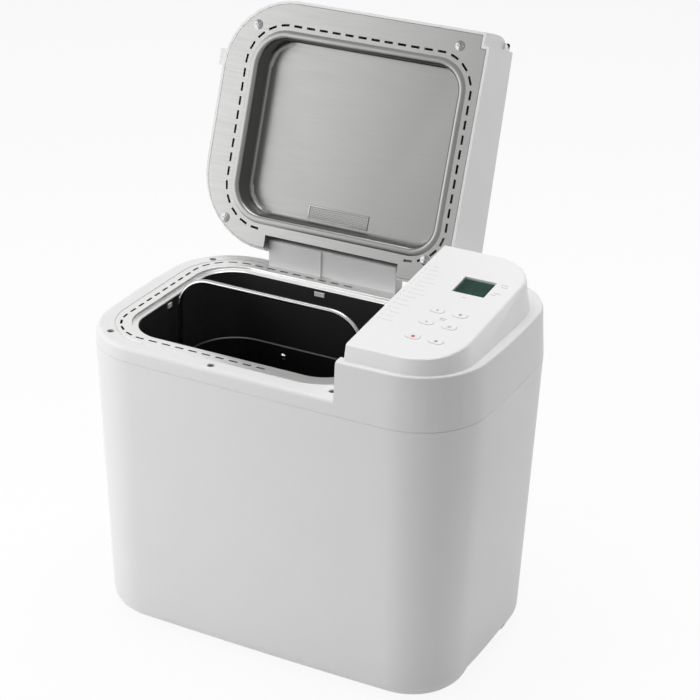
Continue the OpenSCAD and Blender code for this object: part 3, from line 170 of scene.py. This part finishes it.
sheetFinishes = {
    # drawn aluminium of the dish with a satin skin: blurred, even grey mirror
    "satinAluminium": {"colour": "7e7e7d", "shade": "787877", "rough": 0.3, "spread": 0.02, "lineMm": 1.2,
        "stretch": rolled, "waveMm": 90, "waveShare": 2.0, "bump": 0.04},
    # brighter rolled aluminium of the chamber flange: reads nearly white beside the deck
    "flangeAluminium": {"colour": "e4e4e3", "shade": "dadad9", "rough": 0.33, "spread": 0.05, "lineMm": 1.2,
        "stretch": rolled, "waveMm": 90, "waveShare": 1.0, "bump": 0.06},
    # duller rolled aluminium of the lid plate: grey with fine lines across it
    "plateAluminium": {"colour": "8b8b8a", "shade": "858584", "rough": 0.34, "spread": 0.03, "lineMm": 1.2,
        "stretch": rolled, "waveMm": 90, "waveShare": 1.0, "bump": 0.06},
    # zinc-plated steel sheet: blue-grey with cloudy patches
    "zincSteel": {"colour": "b9bcbe", "shade": "9fa3a6", "rough": 0.42, "spread": 0.1, "lineMm": 9, "stretch": plain,
        "waveMm": 70, "waveShare": 1.0, "bump": 0.1},
    # ground and chromed steel: sharp highlights
    "brightChrome": {"colour": "e6e6e8", "shade": "dfdfe2", "rough": 0.12, "spread": 0.03, "lineMm": 3,
        "stretch": plain, "waveMm": 30, "waveShare": 0.5, "bump": 0.02},
    # die-cast zinc: dull, with a faint pitted skin
    "dieCastZinc": {"colour": "a2a3a5", "shade": "8e8f92", "rough": 0.5, "spread": 0.08, "lineMm": 1.4,
        "stretch": plain, "waveMm": 12, "waveShare": 1.0, "bump": 0.4},
    # sintered bronze of the pan bearing: brown-gold and grainy
    "sinteredBronze": {"colour": "a98552", "shade": "8c6b3f", "rough": 0.45, "spread": 0.08, "lineMm": 0.7,
        "stretch": plain, "waveMm": 8, "waveShare": 1.0, "bump": 0.4},
    # drawn stainless wire of the bail: a light core between darker edges
    "drawnSteel": {"colour": "b2b2b3", "shade": "a3a3a5", "rough": 0.2, "spread": 0.05, "lineMm": 2,
        "stretch": plain, "waveMm": 20, "waveShare": 1.0, "bump": 0.05},
    # nickel-plated screw heads: grey, with a small bright centre
    "nickelSteel": {"colour": "8d8d8e", "shade": "7b7b7d", "rough": 0.22, "spread": 0.05, "lineMm": 2,
        "stretch": plain, "waveMm": 20, "waveShare": 1.0, "bump": 0.1},
    # dark zinc-plated deck screws: small dull grey spots on the deck
    "darkZinc": {"colour": "6a6b6d", "shade": "58595b", "rough": 0.4, "spread": 0.08, "lineMm": 2, "stretch": plain,
        "waveMm": 20, "waveShare": 1.0, "bump": 0.1},
    # heat-tinted steel sheath of the heater: brown-grey and dull
    "heaterSheath": {"colour": "5d544c", "shade": "3f3a37", "rough": 0.5, "spread": 0.1, "lineMm": 6,
        "stretch": plain, "waveMm": 40, "waveShare": 1.0, "bump": 0.15},
}
coatingFinishes = {
    # dark enamel of the chamber: near black, soft shine
    "chamberEnamel": {"colour": "2b2b2c", "fleck": "3a3a3b", "fleckShare": 0.4, "fleckMm": 1.1,
        "fleckRadii": (0.05, 0.16), "peelMm": 1.6, "rough": 0.42, "spread": 0.05, "bump": 0.25},
    # non-stick coat of the pan and paddle: black with mica flecks
    "panNonStick": {"colour": "161617", "fleck": "4a4a4b", "fleckShare": 0.35, "fleckMm": 1.3,
        "fleckRadii": (0.05, 0.16), "peelMm": 1.2, "rough": 0.36, "spread": 0.05, "bump": 0.25},
}
finishes = {}
for name, values in plasticFinishes.items():
    finishes[name] = mouldedPlastic(name, values)
for name, values in sheetFinishes.items():
    finishes[name] = pressedSheet(name, values)
for name, values in coatingFinishes.items():
    finishes[name] = bakedCoating(name, values)


# Pad-printed ink: thin matt film, uneven in strength
def paddedInk(name, v):
    material, tree, place = startMaterial(name)
    film = add(tree, "ShaderNodeTexNoise", {"Vector": place, "Scale": perMetre(v["patchMm"]), "Detail": 2.0})
    colour = add(tree, "ShaderNodeMix", {0: film.outputs[0], 6: hexColour(v["colour"]), 7: hexColour(v["shade"])},
                 data_type="RGBA")
    shader = add(tree, "ShaderNodeBsdfPrincipled", {"Base Color": colour.outputs[2], "Roughness": v["rough"],
                                                    "IOR": 1.5})
    endMaterial(tree, shader)
    return material


inkFinishes = {
    # key symbols and bars: soft grey, never black
    "greyInk": {"colour": "8f8f90", "shade": "a5a5a6", "patchMm": 0.8, "rough": 0.6},
    # the numbered rows: only just darker than the panel
    "paleGreyInk": {"colour": "c4c4c5", "shade": "d2d2d3", "patchMm": 0.8, "rough": 0.6},
    # the start symbol: a muted red
    "redInk": {"colour": "b9474c", "shade": "c65a5e", "patchMm": 0.8, "rough": 0.6},
    # the ring round it: a blush on the white key
    "pinkInk": {"colour": "f3d9d8", "shade": "f5e0df", "patchMm": 2.0, "rough": 0.6},
}
for name, values in inkFinishes.items():
    finishes[name] = paddedInk(name, values)


# Woven stainless screen: bands of round wires crossing at a fixed pitch, with painted shade, a dark grey, in the
# openings between them
def wovenScreen(name, v):
    material, tree, place = startMaterial(name)
    turned = add(tree, "ShaderNodeMapping", {"Vector": place, "Rotation": (math.radians(v["turn"]), 0, 0)})
    scale = perMetre(v["pitchMm"]) * math.pi / 10  # at scale 1 a band repeats every pi / 10
    weft, warp = (add(tree, "ShaderNodeTexWave", {"Vector": turned.outputs[0], "Scale": scale},
                      wave_type="BANDS", bands_direction=side).outputs["Fac"] for side in "XY")
    wires = add(tree, "ShaderNodeMath", {0: weft, 1: warp}, operation="MAXIMUM").outputs[0]
    # between the wires the colour is dark grey: painted shade in the openings
    colour = add(tree, "ShaderNodeMix", {0: wires, 6: hexColour(v["gap"]), 7: hexColour(v["wire"])}, data_type="RGBA")
    bump = add(tree, "ShaderNodeBump", {"Height": wires, "Strength": v["bump"], "Distance": bumpDeep["wires"]})
    shader = add(tree, "ShaderNodeBsdfPrincipled", {"Base Color": colour.outputs[2], "Roughness": v["rough"],
                                                    "Metallic": 1.0, "Normal": bump.outputs[0]})
    endMaterial(tree, shader)
    return material


# the real pitch is about 0.6 mm; it is drawn coarse enough to show; the openings' dark grey is painted shade for what
# shows through them
screenMesh = {"pitchMm": 1.6, "turn": 109, "wire": "8c8c8b", "gap": "4a4a4a", "rough": 0.42, "bump": 0.5}
finishes["wovenScreen"] = wovenScreen("wovenScreen", screenMesh)

# Clear polycarbonate lens: thin and faintly tinted, so the display shows through it
lensValues = {"tint": "6f8f86", "rough": 0.06, "ior": 1.58, "alpha": 0.12}
lens, tree, place = startMaterial("clearPolycarbonate")
shader = add(tree, "ShaderNodeBsdfPrincipled", {"Base Color": hexColour(lensValues["tint"]), "IOR": lensValues["ior"],
                                                "Roughness": lensValues["rough"], "Alpha": lensValues["alpha"]})
endMaterial(tree, shader)
finishes["clearPolycarbonate"] = lens

nodeFinish = {
    "whiteAbsHousing": ["lower_housing", "upper_housing", "hinge_tower", "lid_shell", "lid_knuckles", "steam_vent"],
    "whiteAbsPanel": ["control_panel", "key_1", "key_2", "key_3", "key_4", "key_start", "key_stop"],
    "greyPolypropylene": ["base_plate"],
    "blackNylon": ["cord_gland", "large_pulley", "motor_pulley"],
    "nitrileRubber": ["foot_front_left", "foot_front_right", "foot_rear_left", "foot_rear_right", "drive_belt"],
    "lcdGreen": ["lcd_module"],
    "solderMask": ["control_board", "power_board"],
    "clearPolycarbonate": ["lcd_window"],
    "satinAluminium": ["lid_dish", "lid_vent"],
    "plateAluminium": ["lid_plate"],
    "flangeAluminium": ["deck_flange"],
    "zincSteel": ["deck_screws", "heater_brackets", "temperature_sensor", "pan_socket", "heat_shield", "chassis",
        "motor"],
    "brightChrome": ["hinge_pin", "drive_shaft", "motor_shaft", "lid_screws", "pan_rivet", "pan_shaft"],
    "drawnSteel": ["pan_handle"],
    # the chamber tabs carry a painted highlight, matt near-white, instead of their bare metal
    "tabPaintedHighlight": ["chamber_tabs"],
    "dieCastZinc": ["bearing_housing", "drive_coupler", "pan_dog", "pan_base"],
    "sinteredBronze": ["pan_bearing"],
    "heaterSheath": ["heater_element"],
    "chamberEnamel": ["chamber_can"],
    "panNonStick": ["bread_pan", "kneading_paddle"],
}
for finish, names in nodeFinish.items():
    for name in names:
        piece = nodes[name]
        piece.data.materials.clear()
        piece.data.materials.append(finishes[finish])
print("materials set")

# facets of round corners are shaded as one curve; real edges, steeper than this, stay crisp
smoothing = {"angle": 32, "weld": 0.00002}
group = bpy.data.node_groups.new("smoothFacets", "GeometryNodeTree")
group.interface.new_socket("Geometry", in_out="INPUT", socket_type="NodeSocketGeometry")
group.interface.new_socket("Geometry", in_out="OUTPUT", socket_type="NodeSocketGeometry")
source = add(group, "NodeGroupInput")
joined = add(group, "GeometryNodeMergeByDistance", {"Geometry": source.outputs[0], "Distance": smoothing["weld"]})
angle = add(group, "GeometryNodeInputMeshEdgeAngle")
steep = add(group, "FunctionNodeCompare", {0: angle.outputs["Unsigned Angle"], 1: math.radians(smoothing["angle"])},
            data_type="FLOAT", operation="GREATER_THAN")
faces = add(group, "GeometryNodeSetShadeSmooth", {"Geometry": joined.outputs[0], "Shade Smooth": True}, domain="FACE")
edges = add(group, "GeometryNodeSetShadeSmooth", {"Geometry": faces.outputs[0], "Selection": steep.outputs[0],
                                                  "Shade Smooth": False}, domain="EDGE")
add(group, "NodeGroupOutput", {"Geometry": edges.outputs[0]})
for name, piece in nodes.items():
    piece.modifiers.new("smoothFacets", "NODES").node_group = group
    weighted = piece.modifiers.new("flatFacesFlat", "WEIGHTED_NORMAL")
    weighted.keep_sharp = True
print("facets smoothed")

weldMm = 0.001  # points of a new piece nearer than this become one


def finishPiece(name, bm, finish, body, replaced=()):
    bmesh.ops.remove_doubles(bm, verts=bm.verts, dist=weldMm / 1000)
    bmesh.ops.recalc_face_normals(bm, faces=bm.faces)
    mesh = bpy.data.meshes.new(name)
    bm.to_mesh(mesh)
    bm.free()
    piece = bpy.data.objects.new(name, mesh)
    scene.collection.objects.link(piece)
    mesh.materials.append(finishes[finish])
    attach(piece, body)
    if replaced:
        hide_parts(*replaced)
    piece.modifiers.new("smoothFacets", "NODES").node_group = group
    return piece


def vertsOf(geometry):
    return [g for g in geometry if isinstance(g, bmesh.types.BMVert)]


# domed screw head with a cross recess, 2 * radius wide, standing on z = 0
def screwHead(bm, v, place):
    made = bmesh.ops.create_grid(bm, x_segments=v["cells"], y_segments=v["cells"], size=1.0)["verts"]
    cell = 2 / v["cells"]
    cross = []
    for face in {f for vert in made for f in vert.link_faces}:
        near, far = sorted(abs(c) for c in face.calc_center_median()[:2])
        if near < cell / 2 and far < v["arm"]:  # the middle row and column
            cross.append(face)
    for vert in made:  # square grid to a round dome
        x, y, _ = vert.co
        vert.co = Vector((x * math.sqrt(1 - y * y / 2), y * math.sqrt(1 - x * x / 2), 0))
        vert.co.z = v["dome"] / v["radius"] * (1 - vert.co.length_squared)
    rim = list({e for vert in made for e in vert.link_edges if e.is_boundary})
    lowered = bmesh.ops.extrude_edge_only(bm, edges=rim)["geom"]
    skirt = vertsOf(lowered)
    foot = [g for g in lowered if isinstance(g, bmesh.types.BMEdge) and all(vert in skirt for vert in g.verts)]
    bmesh.ops.edgeloop_fill(bm, edges=foot)
    bmesh.ops.translate(bm, verts=skirt, vec=(0, 0, -v["side"] / v["radius"]))
    sunk = vertsOf(bmesh.ops.extrude_face_region(bm, geom=cross)["geom"])
    bmesh.ops.delete(bm, geom=cross, context="FACES_ONLY")
    bmesh.ops.scale(bm, verts=sunk, vec=(v["taper"], v["taper"], 1))
    bmesh.ops.translate(bm, verts=sunk, vec=(0, 0, -v["sunk"] / v["radius"]))
    every = list({*made, *skirt, *sunk})
    bmesh.ops.scale(bm, verts=every, vec=[v["radius"] / 1000] * 3)
    bmesh.ops.translate(bm, verts=every, vec=(0, 0, v["side"] / 1000))
    bmesh.ops.transform(bm, verts=every, matrix=place)


def atMm(x, y, z):
    return Matrix.Translation((x / 1000, y / 1000, z / 1000))


# the lid is drawn open: its parts are placed as on the closed lid and swung with it
hinge = {"y": 114.6, "z": 312.2, "open": 109}
swing = (atMm(0, hinge["y"], hinge["z"]) @ Matrix.Rotation(math.radians(-hinge["open"]), 4, "X")
         @ atMm(0, -hinge["y"], -hinge["z"]))

# millimetres, except arm, the cross's reach in radii, and taper, its floor's share of its mouth;
# z is where the closed lid's heads stand
lidScrews = {"at": [(-158.1, -92.2), (52.4, -104.2), (-160.1, 96.2), (55.0, 96.0)], "z": 295.0,
             "radius": 4.9, "cells": 11, "arm": 0.62, "taper": 0.6, "dome": 0.7, "side": 0.1, "sunk": 0.5}
bm = bmesh.new()
for x, y in lidScrews["at"]:
    screwHead(bm, lidScrews, swing @ atMm(x, y, lidScrews["z"]) @ Matrix.Rotation(math.pi, 4, "X"))
finishPiece("lidScrewHeads", bm, "nickelSteel", "lid", ["lid_screws"])

deckScrews = {"at": [(-162, -97), (-47, -113.6), (69, -105.5), (-167, 92)], "z": 292.4,
              "radius": 2.9, "cells": 9, "arm": 0.62, "taper": 0.6, "dome": 0.5, "side": 0.4, "sunk": 0.7}
bm = bmesh.new()
for x, y in deckScrews["at"]:
    screwHead(bm, deckScrews, atMm(x, y, deckScrews["z"]))
finishPiece("deckScrewHeads", bm, "darkZinc", "base", ["deck_screws"])
print("screws made")

# steam screen: a folded frame round a woven field, standing on the dish's floor
screen = {"x": (-84.1, -19.1), "y": (69, 83), "z": (317.7, 318.5), "frame": 1.9, "slope": 0.3, "sunk": 0.45,
          "edge": 0.35}
bm = bmesh.new()
box = [(screen[k][0] / 1000, screen[k][1] / 1000) for k in "xyz"]
made = bmesh.ops.create_cube(bm, size=1.0)["verts"]
bmesh.ops.scale(bm, verts=made, vec=[high - low for low, high in box])
bmesh.ops.translate(bm, verts=made, vec=[(high + low) / 2 for low, high in box])
face = min(bm.faces, key=lambda f: f.calc_center_median().z)
outer = list(face.edges)
bmesh.ops.inset_individual(bm, faces=[face], thickness=screen["frame"] / 1000, depth=0)
bmesh.ops.inset_individual(bm, faces=[face], thickness=screen["slope"] / 1000, depth=-screen["sunk"] / 1000)
face.material_index = 1
bmesh.ops.bevel(bm, geom=outer, offset=screen["edge"] / 1000, segments=3, profile=0.5,
                affect="EDGES", material=-1)
bmesh.ops.transform(bm, matrix=swing, verts=bm.verts)
piece = finishPiece("steamScreen", bm, "plateAluminium", "lid", ["lid_vent"])
piece.data.materials.append(finishes["wovenScreen"])
print("steam screen made")

# print on the control panel; the panel's face slopes up towards the back
panel = {"y": -111.0, "z": 343.5, "tilt": 5.77, "film": 0.05, "keyProud": 0.3}


# x across the panel, v up its slope and lift off it, in millimetres
def onPanel(x, v, lift):
    return atMm(0, panel["y"], panel["z"]) @ Matrix.Rotation(math.radians(panel["tilt"]), 4, "X") @ atMm(x, v, lift)


# a flat-sided disc; corners are its sides, and turn stands it on a point or a side
def printShape(bm, corners, wide, tall, x, v, lift=0.0, turn=0.0):
    made = bmesh.ops.create_circle(bm, cap_ends=True, segments=corners, radius=1.0)["verts"]
    bmesh.ops.rotate(bm, verts=made, matrix=Matrix.Rotation(math.radians(turn), 3, "Z"))
    reachX, reachY = (max(abs(vert.co[k]) for vert in made) for k in (0, 1))
    bmesh.ops.scale(bm, verts=made, vec=(wide / 2000 / reachX, tall / 2000 / reachY, 1))
    faces = list({f for vert in made for f in vert.link_faces})
    raised = vertsOf(bmesh.ops.extrude_face_region(bm, geom=faces)["geom"])
    bmesh.ops.translate(bm, verts=raised, vec=(0, 0, panel["film"] / 1000))
    bmesh.ops.transform(bm, matrix=onPanel(x, v, lift), verts=made + raised)


def printBar(bm, wide, tall, x, v):
    printShape(bm, 4, wide, tall, x, v, turn=45)


def printNumber(bm, text, size, x, v):
    curve = bpy.data.curves.new("number", "FONT")
    curve.body = text
    curve.size = size / 1000
    curve.extrude = panel["film"] / 1000
    curve.resolution_u = 3  # steps along each bend of a digit
    words = bpy.data.objects.new("number", curve)
    scene.collection.objects.link(words)
    bpy.context.view_layer.update()
    flat = bpy.data.meshes.new_from_object(words.evaluated_get(bpy.context.evaluated_depsgraph_get()))
    flat.transform(onPanel(x, v, 0))
    bm.from_mesh(flat)
    bpy.data.objects.remove(words)
    bpy.data.curves.remove(curve)
    bpy.data.meshes.remove(flat)


# pale ring round the start symbol
ring = {"at": (128.6, 36.6), "outer": 7.6, "inner": 6.2, "sides": 32}
bm = bmesh.new()
printShape(bm, ring["sides"], ring["outer"], ring["outer"], *ring["at"], panel["keyProud"])
caps = [f for f in bm.faces if len(f.verts) == ring["sides"]]
bmesh.ops.inset_individual(bm, faces=caps, thickness=(ring["outer"] - ring["inner"]) / 2000, depth=0)
loops = [list(f.edges) for f in caps]
bmesh.ops.delete(bm, geom=caps, context="FACES_ONLY")
bmesh.ops.bridge_loops(bm, edges=loops[0] + loops[1])
finishPiece("startRingPrint", bm, "pinkInk", "key_start_body")

# each key's ink and the shapes of its symbol: (corners, width, height, x, v, turn)
keyMarks = {
    "key_1": ("greyInk", [(3, 3.4, 2.6, 128.4, 85.4, 90)]),
    "key_2": ("greyInk", [(24, 3.0, 3.0, 149.9, 86.0, 0)]),
    "key_3": ("greyInk", [(3, 3.4, 2.6, 128.4, 63.4, -90)]),
    "key_4": ("greyInk", [(4, 3.6, 0.9, 149.9, 64.3, 45), (4, 3.6, 0.9, 149.9, 62.3, 45)]),
    "key_start": ("redInk", [(24, 3.8, 3.4, 128.6, 36.6, 0)]),
    "key_stop": ("greyInk", [(4, 2.8, 2.8, 149.9, 36.8, 45)]),
}
for key, (ink, shapes) in keyMarks.items():
    bm = bmesh.new()
    for corners, wide, tall, x, v, turn in shapes:
        printShape(bm, corners, wide, tall, x, v, panel["keyProud"], turn)
    finishPiece(key.replace("key_", "mark") + "Print", bm, ink, key + "_body")

# numbered rows beside the keys, each with a plain bar
programList = {"x": 86.0, "top": 155.5, "pitch": 7.4, "digit": 3.0, "barX": 5.0, "barUp": 0.5, "barTall": 0.55,
               "lengths": (5, 8, 13, 11, 15, 9, 13, 16, 12, 8, 12, 7, 10, 8, 11)}
bm = bmesh.new()
for row, length in enumerate(programList["lengths"]):
    v = programList["top"] - row * programList["pitch"]
    printNumber(bm, str(row + 1), programList["digit"], programList["x"], v)
    barX = programList["x"] + programList["barX"] + length / 2
    printBar(bm, length, programList["barTall"], barX, v + programList["barUp"])
finishPiece("programPrint", bm, "paleGreyInk", "base")

# (width, height, x, v) of the bars round the display and between the keys
panelBars = [(7, 0.6, 163.5, 149.5), (6, 0.6, 165, 145.8), (6, 0.6, 163.2, 133.6), (5, 0.6, 161, 130),
             (4, 0.6, 140, 115.4), (6.5, 0.7, 139.3, 74.4), (5, 0.7, 139.3, 72)]
bm = bmesh.new()
for bar in panelBars:
    printBar(bm, *bar)
finishPiece("panelPrint", bm, "greyInk", "base")
print("print made")


# 1 for a ray that should meet plain white: the camera's, or one that comes by way of metal or glass
def whiteRays(tree):
    rays = add(tree, "ShaderNodeLightPath").outputs
    clear = add(tree, "ShaderNodeMath", {0: rays["Is Camera Ray"], 1: rays["Is Transmission Ray"]}, operation="MAXIMUM")
    return add(tree, "ShaderNodeMath", {0: clear.outputs[0], 1: rays["Is Glossy Ray"]}, operation="MAXIMUM").outputs[0]


# hide is the floor's share of plain white; the rest takes the shadow
floorValues = {"half": 6.0, "z": -0.0002, "colour": "f6f6f6", "glow": 1.0, "hide": 0.9}
bm = bmesh.new()
bmesh.ops.create_grid(bm, x_segments=1, y_segments=1, size=floorValues["half"])
bmesh.ops.translate(bm, verts=bm.verts, vec=(0, 0, floorValues["z"]))
mesh = bpy.data.meshes.new("floor")
bm.to_mesh(mesh)
bm.free()
floor = bpy.data.objects.new("floor", mesh)
scene.collection.objects.link(floor)
material, tree, place = startMaterial("paleFloor")
matt = add(tree, "ShaderNodeBsdfDiffuse", {"Color": hexColour(floorValues["colour"])})
glow = add(tree, "ShaderNodeEmission", {"Color": (1, 1, 1, 1), "Strength": floorValues["glow"]})
share = add(tree, "ShaderNodeMath", {0: whiteRays(tree), 1: floorValues["hide"]}, operation="MULTIPLY")
endMaterial(tree, add(tree, "ShaderNodeMixShader", {0: share.outputs[0], 1: matt.outputs[0], 2: glow.outputs[0]}))
floor.data.materials.append(material)

studio = {"ambient": 0.25, "white": 1.0}  # light on the object, and the background as it is seen
world = bpy.data.worlds.new("studio")
world.use_nodes = True
scene.world = world
tree = world.node_tree
tree.nodes.clear()
ambient = add(tree, "ShaderNodeBackground", {"Color": (1, 1, 1, 1), "Strength": studio["ambient"]})
white = add(tree, "ShaderNodeBackground", {"Color": (1, 1, 1, 1), "Strength": studio["white"]})
mixed = add(tree, "ShaderNodeMixShader", {0: whiteRays(tree), 1: ambient.outputs[0], 2: white.outputs[0]})
add(tree, "ShaderNodeOutputWorld", {"Surface": mixed.outputs[0]})

# three wide, soft lamps; metres and watts
lamps = {
    "topBox": {"at": (-0.1, 0.2, 2.2), "aim": (0, 0, 0.3), "size": 1.4, "power": 26},
    "leftBox": {"at": (-1.25, -0.95, 0.6), "aim": (-0.1, 0, 0.2), "size": 1.3, "power": 14.5},
    "rightBox": {"at": (1.15, 1.25, 0.6), "aim": (0.15, 0, 0.2), "size": 1.0, "power": 5.6},
}
for name, v in lamps.items():
    light = bpy.data.lights.new(name, "AREA")
    light.energy = v["power"]
    light.size = v["size"]
    lamp = bpy.data.objects.new(name, light)
    lamp.location = v["at"]
    lamp.rotation_euler = (Vector(v["aim"]) - Vector(v["at"])).to_track_quat("-Z", "Y").to_euler()
    scene.collection.objects.link(lamp)

# the camera: metres, degrees, and millimetres for the lens and sensor
view = {"at": (0.7952, -1.5134, 1.0869), "yaw": 26.77, "pitch": 25.44, "roll": 1.32, "lens": 106.5, "sensor": 36}
yaw, pitch, roll = (math.radians(view[k]) for k in ("yaw", "pitch", "roll"))
ahead = Vector((-math.sin(yaw) * math.cos(pitch), math.cos(yaw) * math.cos(pitch), -math.sin(pitch)))
right = ahead.cross(Vector((0, 0, 1))).normalized()
up = right.cross(ahead)
rightRolled = math.cos(roll) * right + math.sin(roll) * up
upRolled = -math.sin(roll) * right + math.cos(roll) * up
camera = bpy.data.objects.new("camera", bpy.data.cameras.new("camera"))
camera.data.lens = view["lens"]
camera.data.sensor_width = view["sensor"]
camera.data.sensor_fit = "HORIZONTAL"
camera.matrix_world = Matrix.Translation(view["at"]) @ Matrix((rightRolled, upRolled, -ahead)).transposed().to_4x4()
scene.collection.objects.link(camera)
scene.camera = camera
scene.view_settings.view_transform = "Standard"
print("stage set")
